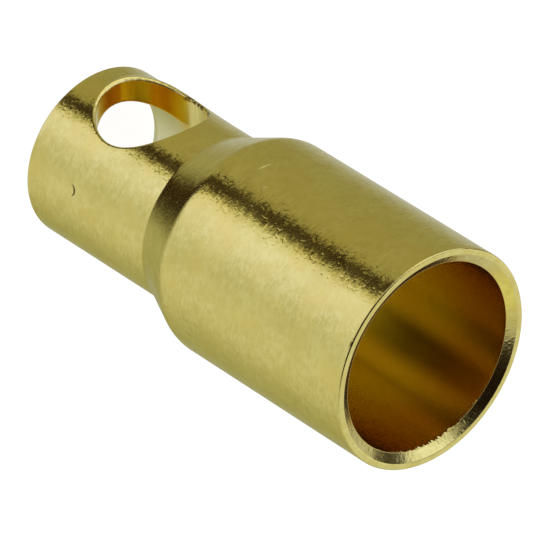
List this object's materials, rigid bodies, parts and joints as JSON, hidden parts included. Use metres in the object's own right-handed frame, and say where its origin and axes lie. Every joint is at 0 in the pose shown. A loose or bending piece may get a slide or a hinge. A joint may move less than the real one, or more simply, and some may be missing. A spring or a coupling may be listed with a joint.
{
  "type": "banana connector socket",
  "caption": "Turned female banana connector: an open round socket barrel, a conical shoulder and a narrower solder cup with a side solder hole.",
  "frame": {"origin": "centre of the rear end of the solder cup, on which the part stands", "axes": "+Z along the turning axis towards the open mouth, -Y out through the solder hole"},
  "size_m": [0.0094, 0.0094, 0.02],
  "materials": {
    "plated_brass": "gold plated over a fine turned and tumbled surface"
  },
  "bodies": {
    "root": {"socket_body": "plated_brass"}
  },
  "joints": []
}
